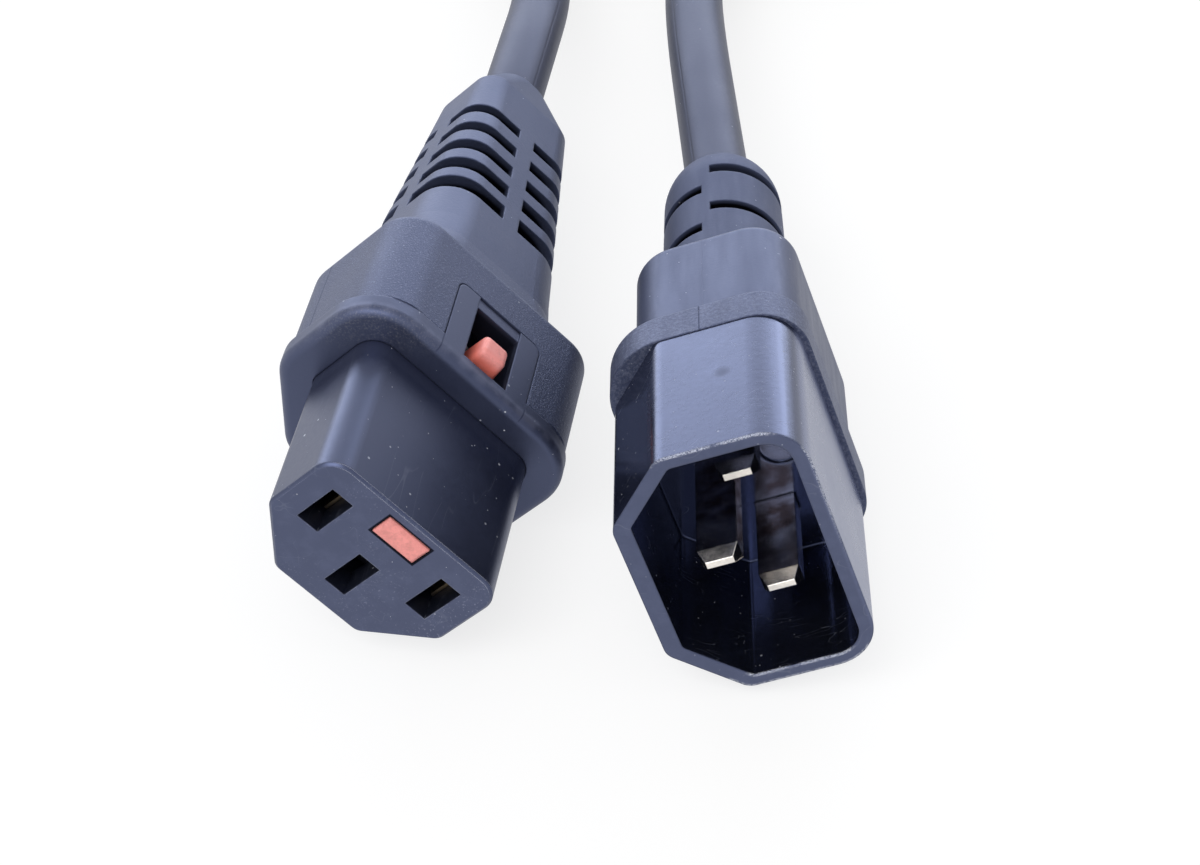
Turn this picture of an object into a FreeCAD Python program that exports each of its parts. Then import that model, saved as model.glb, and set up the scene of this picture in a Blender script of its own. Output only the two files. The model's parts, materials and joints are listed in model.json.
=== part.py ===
"""Power cord: a locking socket connector and a pin connector on one sheathed cable, lying on a table.

Each connector is modelled in a frame of its own: the mating face at y = 0 looking along -Y, the cable
leaving along +Y, the line and neutral poles on the X axis and the earth pole below them.
"""

import FreeCAD, Part
import math
import os
import Sketcher

V = FreeCAD.Vector
# how a sweep passes a corner of its path
TANGENT, RIGHT_CORNER = 0, 1
CONTACT_POLES = ("line", "neutral", "earth")
RELIEF_ROWS = 5
BOOT_SLOTS = 4
# sides of the spring's wire and of the coil's section
SIDES = 8
# share of a run that a bend of the cord takes at each end of it
BEND_SHARE = 0.45
# distances below which two places count as one, and edges as stubs
CLOSE = 1e-3
STUB = 0.2

doc = FreeCAD.newDocument("power_cord")
sheet = doc.addObject("Spreadsheet::Sheet", "Dims")

DIMS = {
    # pole pattern shared by both connectors
    "pole_pitch": 14.0,
    "earth_drop": 4.0,
    "pin_thick": 2.0,
    "pin_wide": 4.0,
    "fit": 0.04,
    # depth by which joined forms reach into each other, and by which cuts run past a face
    "lap": 0.5,
    "past": 1.0,
    # how the socket lies: on the flat of one lower corner, its axis along +Y
    "socket_x": -16.456,
    "socket_y": -40.684,
    "socket_roll": 45.0,
    # how the plug lies
    "plug_x": 19.631,
    "plug_y": -39.634,
    "plug_z": 16.857,
    "plug_yaw": 7.37,
    "plug_pitch": -2.87,
    "plug_roll": 70.64,
    # socket nose
    "nose_half": 11.1,
    "nose_top": 5.7,
    "nose_drop": 9.4,
    "nose_corner": 5.8,
    "nose_back": 30.6,
    "nose_round": 2.7,
    "nose_low_round": 1.4,
    "nose_edge": 0.3,
    "slot_thick": 2.6,
    "slot_wide": 5.2,
    "slot_depth": 18.0,
    "tail_hole": 2.4,
    # channel of the release slider and the pocket of the locking plate
    "channel_half": 2.7,
    "channel_low": 1.7,
    "channel_high": 4.5,
    "channel_back": 30.4,
    "pocket_half": 3.4,
    "pocket_front": 3.2,
    "pocket_back": 8.0,
    "pocket_low": 7.9,
    # lip, panel and window of the lock housing
    "lip_front": 18.95,
    "lip_back": 21.5,
    "lip_half": 14.8,
    "lip_top": 9.3,
    "lip_drop": 13.0,
    "lip_corner": 8.0,
    "lip_top_round": 6.2,
    "lip_low_round": 4.4,
    "lip_edge": 1.0,
    "panel_half": 5.55,
    "panel_back": 30.3,
    "panel_corner": 1.0,
    "panel_gap": 0.1,
    "panel_step": 0.2,
    "window_half": 2.85,
    "window_front": 20.8,
    "window_back": 28.95,
    # release slider
    "tab_proud": 0.35,
    "tab_round": 0.3,
    "slide_gap": 0.15,
    "bar_back": 25.9,
    "button_wall": 1.5,
    "button_half": 2.3,
    "button_front": 20.95,
    "button_back": 23.4,
    "button_top": 10.4,
    "button_top_half": 1.5,
    "button_top_front": 22.3,
    "button_top_back": 25.0,
    "button_round": 0.6,
    "notch_front": 3.7,
    "notch_back": 5.5,
    "notch_high": 2.75,
    # locking plate
    "plate_half": 3.0,
    "plate_thick": 0.8,
    "plate_tall": 9.8,
    "plate_tongue": 2.2,
    "plate_shoulder": 8.9,
    "plate_hinge_y": 7.0,
    "plate_hinge_z": -7.4,
    "plate_tilt": 15.0,
    "plate_hole_gap": 0.25,
    # return spring
    "spring_radius": 0.95,
    "spring_wire": 0.17,
    "spring_turns": 5.0,
    # contacts
    "fork_thick": 2.5,
    "fork_gap": 1.8,
    "fork_wide": 4.4,
    "fork_front": 3.0,
    "earth_fork_front": 9.0,
    "fork_web": 1.5,
    "tail_thick": 2.0,
    "barrel_radius": 1.5,
    "barrel_bore": 0.8,
    "barrel_long": 3.0,
    # shroud and strain relief of the socket
    "grip_half": 13.7,
    "grip_corner": 6.9,
    "grip_top_round": 4.6,
    "shroud_back": 36.0,
    "rim_round": 1.2,
    "relief_z": -2.2,
    "flare_start": 35.6,
    "flare_half": 12.3,
    "flare_tall": 10.2,
    "flare_round": 6.0,
    "flare_low_round": 10.0,
    "flare_mid": 37.9,
    "flare_mid_half": 11.1,
    "flare_mid_tall": 9.4,
    "flare_mid_round": 5.6,
    "flare_mid_low_round": 8.6,
    "flare_end": 40.6,
    "flare_end_half": 9.95,
    "flare_end_tall": 8.9,
    "flare_end_round": 5.2,
    "flare_end_low_round": 7.4,
    "relief_start": 44.0,
    "relief_half": 9.45,
    "relief_tall": 8.6,
    "relief_round": 5.0,
    "relief_low_round": 6.8,
    "relief_end": 76.0,
    "relief_end_half": 6.6,
    "relief_end_tall": 5.5,
    "relief_end_round": 2.6,
    "relief_end_low_round": 3.4,
    "tail_end": 82.0,
    "tail_end_half": 3.9,
    "tail_end_tall": 3.9,
    "tail_end_round": 3.3,
    "tail_end_low_round": 3.3,
    "relief_slot_first": 50.7,
    "relief_slot_wide": 2.55,
    "relief_slot_step": 0.18,
    "relief_slot_pitch": 4.28,
    "relief_rib": 1.1,
    "relief_core": 5.0,
    "hollow_half": 8.8,
    "hollow_top": 2.0,
    "hollow_drop": 6.2,
    "hollow_back": 37.6,
    "core_gather": 50.0,
    "core_early": 2.5,
    "sheath_end": 75.5,
    # plug shell
    "shell_half": 14.3,
    "shell_top": 7.8,
    "shell_drop": 12.0,
    "shell_corner": 6.3,
    "shell_round": 4.5,
    "shell_low_round": 1.8,
    "cup_half": 13.05,
    "cup_top": 6.3,
    "cup_drop": 10.25,
    "cup_corner": 5.4,
    "cup_round": 2.8,
    "cup_low_round": 0.9,
    "cup_depth": 17.2,
    "shell_back": 18.9,
    "spigot_inset": 3.0,
    "spigot_back": 23.0,
    "mark_radius": 2.2,
    "mark_deep": 0.3,
    "mark_z": 2.4,
    # pins
    "pin_tip": 4.7,
    "earth_tip": 1.5,
    "pin_point": 1.3,
    "pin_point_side": 0.65,
    "pin_back": 26.0,
    # plug overmould
    "flange_half": 14.4,
    "flange_top": 8.4,
    "flange_drop": 12.2,
    "flange_round": 5.0,
    "flange_low_round": 7.0,
    "flange_back": 22.9,
    "trunk_half": 12.9,
    "trunk_top": 7.5,
    "trunk_drop": 9.4,
    "trunk_round": 4.8,
    "trunk_back": 37.9,
    "trunk_edge": 1.2,
    "boot_z": -2.5,
    "boot_radius": 6.9,
    "boot_end_radius": 6.5,
    "boot_back": 62.0,
    "boot_tip": 68.5,
    "boot_tip_radius": 3.9,
    "boot_slot_first": 49.0,
    "boot_slot_pitch": 3.9,
    "boot_slot_wide": 1.6,
    "boot_rib": 0.45,
    "boot_core": 4.7,
    "trunk_hollow_half": 8.6,
    "trunk_hollow_top": 2.4,
    "trunk_hollow_drop": 6.6,
    "trunk_hollow_back": 32.5,
    "boot_hollow_half": 5.4,
    "boot_hollow_tall": 3.4,
    "plug_core_gather": 44.0,
    "plug_sheath_end": 62.0,
    "straight_out": 9.0,
    # cable
    "core_radius": 1.3,
    "core_circle": 1.55,
    "core_bundle": 2.95,
    "core_straight": 2.0,
    "cable_dia": 7.2,
    "coil_x": -13.4,
    "coil_y": 149.5,
    "coil_radius": 35.0,
    "tie_thick": 1.2,
    "tie_wide": 13.0,
}

for row, (alias, value) in enumerate(DIMS.items(), start=1):
    sheet.set(f"A{row}", alias)
    sheet.set(f"B{row}", str(value))
    sheet.setAlias(f"B{row}", alias)
doc.recompute()


def size(expression):
    """Value of an expression of the sheet's names, in millimetres or degrees."""
    return float(sheet.evalExpression(bind(expression)))


def bind(expression):
    """Expression text with every name of the sheet written as a reference to it."""
    words = []
    for word in expression.replace("(", "( ").replace(")", " )").split():
        sign = "-" if word.startswith("-") and len(word) > 1 else ""
        bare = word[len(sign):]
        words.append(sign + ("Dims." + bare if bare in DIMS else bare))
    return " ".join(words)


def new_body(name):
    made = doc.addObject("PartDesign::Body", name)
    made.Label = name
    return made


def place_along_y(feature, x, y, z):
    """Puts a cylinder's axis along +Y, starting at the given point."""
    feature.Placement = FreeCAD.Placement(V(), FreeCAD.Rotation(V(1, 0, 0), -90))
    for axis, expression in zip("xyz", (x, y, z)):
        feature.setExpression("Placement.Base." + axis, bind(expression))


def block(owner, name, low, high, cut=False):
    """Box between two corners."""
    made = owner.newObject("PartDesign::" + ("Subtractive" if cut else "Additive") + "Box", name)
    for axis, side, start, end in zip("xyz", ("Length", "Width", "Height"), low, high):
        made.setExpression(side, bind(f"( {end} ) - ( {start} )"))
        made.setExpression("Placement.Base." + axis, bind(start))
    doc.recompute()
    return made


def rod(owner, name, radius, x, start, end, z, cut=False):
    """Cylinder along Y."""
    made = owner.newObject("PartDesign::" + ("Subtractive" if cut else "Additive") + "Cylinder", name)
    made.setExpression("Radius", bind(radius))
    made.setExpression("Height", bind(f"( {end} ) - ( {start} )"))
    place_along_y(made, x, start, z)
    doc.recompute()
    return made


def taper(owner, name, start, end, near, far, cut=False):
    """Wedge along Y between two rectangles, each given as (half width, bottom, top)."""
    made = owner.newObject("PartDesign::" + ("Subtractive" if cut else "Additive") + "Wedge", name)
    ends = {
        "Ymin": start, "Ymax": end,
        "Xmin": f"-( {near[0]} )", "Xmax": near[0], "Zmin": near[1], "Zmax": near[2],
        "X2min": f"-( {far[0]} )", "X2max": far[0], "Z2min": far[1], "Z2max": far[2],
    }
    for side, expression in ends.items():
        made.setExpression(side, bind(expression))
    doc.recompute()
    return made


def outline(owner, name, corners, y):
    """Closed sketch through the corners, given as pairs of expressions, on a plane across the axis."""
    sketch = owner.newObject("Sketcher::SketchObject", name)
    across = next(f for f in owner.Origin.OriginFeatures if f.Role == "XZ_Plane")
    sketch.AttachmentSupport = [(across, "")]
    sketch.MapMode = "FlatFace"
    sketch.setExpression("AttachmentOffset.Base.z", bind(f"-1 * ( {y} )"))
    points = [V(size(x), size(z), 0) for x, z in corners]
    count = len(points)
    for i in range(count):
        sketch.addGeometry(Part.LineSegment(points[i], points[(i + 1) % count]))
    for i in range(count):
        sketch.addConstraint(Sketcher.Constraint("Coincident", i, 2, (i + 1) % count, 1))
    for i, corner in enumerate(corners):
        for kind, value, expression in zip(("DistanceX", "DistanceY"), points[i], corner):
            index = sketch.addConstraint(Sketcher.Constraint(kind, -1, 1, i, 1, value))
            sketch.setExpression(f"Constraints[{index}]", bind(expression))
    doc.recompute()
    return sketch


def hexagon(half, top, drop, corner):
    """Corners of the coupler outline: a rectangle with its two lower corners cut at 45 degrees."""
    return [
        (f"-( {half} )", top),
        (half, top),
        (half, f"{corner} - ( {drop} )"),
        (f"{half} - ( {corner} )", f"-( {drop} )"),
        (f"{corner} - ( {half} )", f"-( {drop} )"),
        (f"-( {half} )", f"{corner} - ( {drop} )"),
    ]


def rectangle(half, top, drop):
    return [(f"-( {half} )", top), (half, top), (half, f"-( {drop} )"), (f"-( {half} )", f"-( {drop} )")]


def grown(half, top, drop, corner, by):
    """Outline sizes of a hexagon whose sides all stand out by the same distance."""
    return (
        f"{half} + {by}",
        f"{top} + {by}",
        f"{drop} + {by}",
        f"{corner} + ( {by} ) * ( 2 - sqrt( 2 ) )",
    )


def prism(owner, name, corners, start, end, cut=False):
    """Pad or pocket of an outline from one station along Y to another."""
    sketch = outline(owner, name + "_outline", corners, start)
    made = owner.newObject("PartDesign::" + ("Pocket" if cut else "Pad"), name)
    made.Profile = sketch
    made.setExpression("Length", bind(f"( {end} ) - ( {start} )"))
    made.Reversed = not cut
    doc.recompute()
    return made


def soften(owner, name, pick, radius, kind="Fillet"):
    """Fillet or chamfer on the edges of the body's last feature that the test picks."""
    base = owner.Tip
    edges = [f"Edge{i}" for i, edge in enumerate(base.Shape.Edges, start=1) if pick(edge)]
    made = owner.newObject("PartDesign::" + kind, name)
    made.Base = (base, edges)
    made.setExpression("Radius" if kind == "Fillet" else "Size", bind(radius))
    doc.recompute()
    return made


def long_edge(where):
    """Test for straight edges along Y whose place across the axis passes the given test."""
    def test(edge):
        box = edge.BoundBox
        slim = box.XLength < CLOSE and box.ZLength < CLOSE and box.YLength > STUB
        return slim and where(box.Center)
    return test


def edge_at(y, where=lambda centre: True):
    """Test for edges lying across the axis at one station."""
    def test(edge):
        box = edge.BoundBox
        return box.YLength < CLOSE and abs(box.Center.y - y) < CLOSE and where(box.Center)
    return test


def upright_edge(y):
    """Test for straight edges along Z at one station."""
    def test(edge):
        box = edge.BoundBox
        return box.XLength + box.YLength < CLOSE and abs(box.Center.y - y) < CLOSE
    return test


def rounded_hexagon(owner, name, sizes, start, end, top_round, low_round, cut=False):
    """Hexagon prism, or pocket, with a larger radius on its two upper corners."""
    half, top, drop, corner = sizes
    prism(owner, name, hexagon(*sizes), start, end, cut)
    middle = (size(start) + size(end)) / 2
    wide, high, low = size(half), size(top), -size(drop)
    cut_high = low + size(corner)
    cut_wide = wide - size(corner)

    def here(centre):
        return abs(centre.y - middle) < abs(size(end) - size(start))

    def upper(centre):
        return here(centre) and abs(abs(centre.x) - wide) < CLOSE and abs(centre.z - high) < CLOSE

    def lower(centre):
        on_side = abs(abs(centre.x) - wide) < CLOSE and abs(centre.z - cut_high) < CLOSE
        on_bottom = abs(abs(centre.x) - cut_wide) < CLOSE and abs(centre.z - low) < CLOSE
        return here(centre) and (on_side or on_bottom)

    soften(owner, name + "_round", long_edge(upper), top_round)
    soften(owner, name + "_low_round", long_edge(lower), low_round)


def poles():
    """Name, x and z of each pole, as expressions."""
    return (
        ("line", "pole_pitch / -2", "0"),
        ("neutral", "pole_pitch / 2", "0"),
        ("earth", "0", "-earth_drop"),
    )


NOSE = ("nose_half", "nose_top", "nose_drop", "nose_corner")
NOSE_HOLE = grown(*NOSE, "fit")
LIP = ("lip_half", "lip_top", "lip_drop", "lip_corner")
GRIP = ("grip_half", "lip_top", "lip_drop", "grip_corner")


def make_nose():
    """Hard insulator with three slots, the slider's channel and the locking plate's pocket."""
    nose = new_body("c13_nose")
    rounded_hexagon(nose, "insulator", NOSE, "0", "nose_back", "nose_round", "nose_low_round")
    soften(nose, "face_edge", edge_at(0.0), "nose_edge", "Chamfer")
    for pole, x, z in poles():
        low = (f"{x} - slot_thick / 2", "0", f"{z} - slot_wide / 2")
        high = (f"{x} + slot_thick / 2", "slot_depth", f"{z} + slot_wide / 2")
        block(nose, pole + "_slot", low, high, cut=True)
        low = (f"{x} - tail_hole / 2", "slot_depth", f"{z} - tail_hole / 2")
        high = (f"{x} + tail_hole / 2", "nose_back", f"{z} + tail_hole / 2")
        block(nose, pole + "_tail_hole", low, high, cut=True)
    low = ("-channel_half", "0", "channel_low")
    block(nose, "slider_channel", low, ("channel_half", "channel_back", "channel_high"), cut=True)
    low = ("-channel_half", "lip_front + button_wall", "channel_high - lap")
    block(nose, "button_opening", low, ("channel_half", "channel_back", "nose_top + past"), cut=True)
    low = ("-pocket_half", "pocket_front", "-pocket_low")
    block(nose, "plate_pocket", low, ("pocket_half", "pocket_back", "channel_low + lap"), cut=True)
    return nose


def make_lock_housing():
    """Front lip round the nose, with the flat panel and its window on the long side."""
    housing = new_body("c13_lock_housing")
    rounded_hexagon(housing, "lip", LIP, "lip_front", "lip_back", "lip_top_round", "lip_low_round")
    soften(housing, "lip_edge", edge_at(size("lip_front")), "lip_edge")
    low = ("-panel_half", "lip_back - lap", "nose_top + lap")
    block(housing, "panel", low, ("panel_half", "panel_back", "lip_top"))
    soften(housing, "panel_corners", upright_edge(size("panel_back")), "panel_corner")
    rounded_hexagon(housing, "nose_hole", NOSE_HOLE, "lip_front", "lip_back",
                    "nose_round", "nose_low_round", cut=True)
    low = ("-window_half", "window_front", "nose_top - past")
    block(housing, "window", low, ("window_half", "window_back", "lip_top + past"), cut=True)
    low = ("-window_half", "window_back - lap", "lip_top - panel_step")
    block(housing, "thumb_step", low, ("window_half", "panel_back + past", "lip_top + past"), cut=True)
    return housing


def rounded_section(owner, name, y, half, tall, top_round, low_round, z):
    """Sketch of a rectangle with round corners, centred on the axis at height z, across station y."""
    sketch = owner.newObject("Sketcher::SketchObject", name)
    across = next(f for f in owner.Origin.OriginFeatures if f.Role == "XZ_Plane")
    sketch.AttachmentSupport = [(across, "")]
    sketch.MapMode = "FlatFace"
    sketch.setExpression("AttachmentOffset.Base.z", bind(f"-1 * ( {y} )"))
    sketch.setExpression("AttachmentOffset.Base.y", bind(z))
    top_x, low_x = f"{half} - {top_round}", f"{half} - {low_round}"
    top_z, low_z = f"{tall} - {top_round}", f"{low_round} - {tall}"
    sides = [
        ((f"-1 * ( {top_x} )", tall), (top_x, tall)),
        ((half, top_z), (half, low_z)),
        ((low_x, f"-{tall}"), (f"-1 * ( {low_x} )", f"-{tall}")),
        ((f"-{half}", low_z), (f"-{half}", top_z)),
    ]
    corners = len(sides)
    for start, end in sides:
        ends = [V(size(point[0]), size(point[1]), 0) for point in (start, end)]
        sketch.addGeometry(Part.LineSegment(*ends))
    for index, corner_round in enumerate((top_round, low_round, low_round, top_round)):
        before = sketch.Geometry[index].EndPoint
        after = sketch.Geometry[(index + 1) % corners].StartPoint
        across_first = index % 2 == 0
        corner = V(after.x, before.y, 0) if across_first else V(before.x, after.y, 0)
        hub = V(before.x, after.y, 0) if across_first else V(after.x, before.y, 0)
        crest = hub + (corner - hub).normalize() * size(corner_round)
        sketch.addGeometry(Part.Arc(before, crest, after))
    for index, ends in enumerate(sides):
        for vertex, point in enumerate(ends, start=1):
            for kind, expression in zip(("DistanceX", "DistanceY"), point):
                distance = Sketcher.Constraint(kind, -1, 1, index, vertex, size(expression))
                made = sketch.addConstraint(distance)
                sketch.setExpression(f"Constraints[{made}]", bind(expression))
    for index in range(corners):
        arc = index + corners
        line_end = sketch.getPoint(index, 2)
        first = 1 if sketch.getPoint(arc, 1).distanceToPoint(line_end) < CLOSE else 2
        sketch.addConstraint(Sketcher.Constraint("Tangent", arc, first, index, 2))
        sketch.addConstraint(Sketcher.Constraint("Coincident", arc, 3 - first, (index + 1) % corners, 1))
    doc.recompute()
    return sketch


def make_shroud():
    """Soft overmould: grip, flared strain relief with four rows of slots, and the space for the cores."""
    shroud = new_body("c13_shroud")
    rounded_hexagon(shroud, "grip", GRIP, "lip_back", "shroud_back", "grip_top_round", "lip_low_round")
    soften(shroud, "rim_edge", edge_at(size("shroud_back")), "rim_round")
    sections = []
    for station in ("flare", "flare_mid", "flare_end", "relief", "relief_end", "tail_end"):
        y = station + "_start" if station in ("flare", "relief") else station
        sizes = [f"{station}_{kind}" for kind in ("half", "tall", "round", "low_round")]
        sections.append(rounded_section(shroud, "section_" + station, y, *sizes, "relief_z"))
    relief = shroud.newObject("PartDesign::AdditiveLoft", "relief")
    relief.Profile = sections[0]
    relief.Sections = sections[1:]
    relief.Ruled = True
    doc.recompute()
    # four slots in each row, one per corner, narrower toward the cable
    near, far = "relief_rib", "2 * relief_half"
    for row in range(RELIEF_ROWS):
        middle = f"relief_slot_first + {row} * relief_slot_pitch"
        half_wide = f"( relief_slot_wide - {row} * relief_slot_step ) / 2"
        for side, up in ((1, 1), (1, -1), (-1, 1), (-1, -1)):
            x = (near, far) if side > 0 else (f"-1 * {far}", f"-{near}")
            z = (near, far) if up > 0 else (f"-1 * {far}", f"-{near}")
            low = (x[0], f"{middle} - {half_wide}", f"relief_z + {z[0]}")
            high = (x[1], f"{middle} + {half_wide}", f"relief_z + {z[1]}")
            block(shroud, f"relief_slot_{row}", low, high, cut=True)
    rod(shroud, "relief_core", "relief_core", "0", "relief_start", "relief_end - past", "relief_z")
    rounded_hexagon(shroud, "nose_seat", NOSE_HOLE, "lip_back", "nose_back + fit",
                    "nose_round", "nose_low_round", cut=True)
    low = ("-panel_half - panel_gap", "lip_back", "nose_top - past")
    high = ("panel_half + panel_gap", "panel_back + panel_gap", "lip_top + past")
    block(shroud, "panel_seat", low, high, cut=True)
    seat_back = upright_edge(size("panel_back + panel_gap"))
    soften(shroud, "panel_seat_corners", seat_back, "panel_corner + panel_gap")
    low = ("-hollow_half", "nose_back", "-hollow_drop")
    block(shroud, "crimp_hollow", low, ("hollow_half", "hollow_back", "hollow_top"), cut=True)
    wide = ("hollow_half", "-hollow_drop", "hollow_top")
    slim = ("core_bundle", "relief_z - core_bundle", "relief_z + core_bundle")
    taper(shroud, "core_hollow", "hollow_back", "core_gather", wide, slim, cut=True)
    end = "tail_end + past"
    rod(shroud, "cable_bore", "cable_dia / 2 + fit", "0", "core_gather", end, "relief_z", cut=True)
    return shroud


def make_slider():
    """Red moulding: a bar through the nose, its tab in the face and the button in the window."""
    slider = new_body("c13_release_slider")
    low = ("slide_gap - channel_half", "-tab_proud", "channel_low + slide_gap")
    block(slider, "bar", low, ("channel_half - slide_gap", "bar_back", "channel_high - slide_gap"))
    soften(slider, "tab_edge", edge_at(-size("tab_proud")), "tab_round", "Chamfer")
    near = ("button_half", "-button_back", "-button_front")
    far = ("button_top_half", "-button_top_back", "-button_top_front")
    button = taper(slider, "button", "channel_high - slide_gap - lap", "button_top", near, far)
    button.Placement = FreeCAD.Placement(V(), FreeCAD.Rotation(V(1, 0, 0), 90))
    doc.recompute()

    def crown(edge):
        return edge.BoundBox.ZMax > size("button_top") - CLOSE

    soften(slider, "button_crown", crown, "button_round")
    low = ("-channel_half", "notch_front", "channel_low - past")
    block(slider, "plate_notch", low, ("channel_half", "notch_back", "notch_high"), cut=True)
    return slider


def make_locking_plate():
    """Steel plate with a hole for the earth pin, upright in its own frame above the hinge line."""
    plate = new_body("c13_locking_plate")
    low = ("-plate_half", "plate_thick / -2", "0")
    block(plate, "blade", low, ("plate_half", "plate_thick / 2", "plate_shoulder"))
    low = ("-plate_tongue", "plate_thick / -2", "plate_shoulder - lap")
    block(plate, "tongue", low, ("plate_tongue", "plate_thick / 2", "plate_tall"))
    middle = "-earth_drop - plate_hinge_z"
    low = ("pin_thick / -2 - plate_hole_gap", "-plate_thick", f"{middle} - pin_wide / 2 - plate_hole_gap")
    high = ("pin_thick / 2 + plate_hole_gap", "plate_thick", f"{middle} + pin_wide / 2 + plate_hole_gap")
    block(plate, "pin_hole", low, high, cut=True)
    return plate


def make_spring():
    """Compression spring of eight-sided wire between the slider and the end of its channel."""
    coil = doc.addObject("Part::Helix", "spring_line")
    free = "channel_back - bar_back - 2 * spring_wire"
    coil.setExpression("Radius", bind("spring_radius"))
    coil.setExpression("Height", bind(free))
    coil.setExpression("Pitch", bind(f"( {free} ) / spring_turns"))
    wire = doc.addObject("Part::RegularPolygon", "spring_wire")
    wire.Polygon = SIDES
    wire.setExpression("Circumradius", bind("spring_wire"))
    wire.Placement = FreeCAD.Placement(V(), FreeCAD.Rotation(V(1, 0, 0), 90))
    wire.setExpression("Placement.Base.x", bind("spring_radius"))
    spring = doc.addObject("Part::Sweep", "c13_return_spring")
    spring.Label = "c13_return_spring"
    spring.Sections = [wire]
    spring.Spine = (coil, ["Edge1"])
    spring.Solid = True
    spring.Frenet = True
    doc.recompute()
    return spring


def make_contact(pole, x, z):
    """Forked contact with a tail and a crimp barrel."""
    contact = new_body(f"c13_{pole}_contact")
    front = "earth_fork_front" if pole == "earth" else "fork_front"
    low = (f"{x} - fork_thick / 2", front, f"{z} - fork_wide / 2")
    block(contact, "fork", low, (f"{x} + fork_thick / 2", "slot_depth", f"{z} + fork_wide / 2"))
    low = (f"{x} - fork_gap / 2", front, f"{z} - fork_wide")
    high = (f"{x} + fork_gap / 2", "slot_depth - fork_web", f"{z} + fork_wide")
    block(contact, "fork_gap", low, high, cut=True)
    low = (f"{x} - tail_thick / 2", "slot_depth - fork_web / 2", f"{z} - tail_thick / 2")
    block(contact, "tail", low, (f"{x} + tail_thick / 2", "nose_back + lap", f"{z} + tail_thick / 2"))
    end = "nose_back + fit + barrel_long"
    rod(contact, "barrel", "barrel_radius", x, "nose_back + fit", end, z)
    rod(contact, "barrel_bore", "barrel_bore", x, f"{end} - barrel_long / 2", end, z, cut=True)
    return contact


def make_shell():
    """Hard cup round the pins, with a smaller root that the overmould holds."""
    shell = new_body("c14_shell")
    outer = ("shell_half", "shell_top", "shell_drop", "shell_corner")
    rounded_hexagon(shell, "cup_wall", outer, "0", "shell_back", "shell_round", "shell_low_round")
    root = grown(*outer, "-1 * spigot_inset")
    prism(shell, "root", hexagon(*root), "shell_back", "spigot_back")
    inner = ("cup_half", "cup_top", "cup_drop", "cup_corner")
    rounded_hexagon(shell, "cup", inner, "0", "cup_depth", "cup_round", "cup_low_round", cut=True)
    floor = "cup_depth + mark_deep"
    rod(shell, "base_mark", "mark_radius", "0", "cup_depth - past", floor, "mark_z", cut=True)
    for pole, x, z in poles():
        low = (f"{x} - pin_thick / 2 - fit", "cup_depth", f"{z} - pin_wide / 2 - fit")
        high = (f"{x} + pin_thick / 2 + fit", "spigot_back", f"{z} + pin_wide / 2 + fit")
        block(shell, pole + "_pin_hole", low, high, cut=True)
    return shell


def make_pin(pole, x, z):
    """Flat pin with a pointed tip and a crimp barrel behind the shell."""
    pin = new_body(f"c14_{pole}_pin")
    tip = "earth_tip" if pole == "earth" else "pin_tip"
    low = (f"{x} - pin_thick / 2", f"{tip} + pin_point", f"{z} - pin_wide / 2")
    block(pin, "blade", low, (f"{x} + pin_thick / 2", "pin_back", f"{z} + pin_wide / 2"))
    point = pin.newObject("PartDesign::AdditiveWedge", "point")
    sides = {
        "Ymin": tip, "Ymax": f"{tip} + pin_point",
        "Xmin": f"{x} - pin_thick / 2 + pin_point_side", "Xmax": f"{x} + pin_thick / 2 - pin_point_side",
        "Zmin": f"{z} - pin_wide / 2 + pin_point_side", "Zmax": f"{z} + pin_wide / 2 - pin_point_side",
        "X2min": f"{x} - pin_thick / 2", "X2max": f"{x} + pin_thick / 2",
        "Z2min": f"{z} - pin_wide / 2", "Z2max": f"{z} + pin_wide / 2",
    }
    for side, expression in sides.items():
        point.setExpression(side, bind(expression))
    doc.recompute()
    end = "pin_back + barrel_long"
    rod(pin, "barrel", "barrel_radius", x, "pin_back - lap", end, z)
    rod(pin, "barrel_bore", "barrel_bore", x, f"{end} - barrel_long / 2", end, z, cut=True)
    return pin


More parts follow.
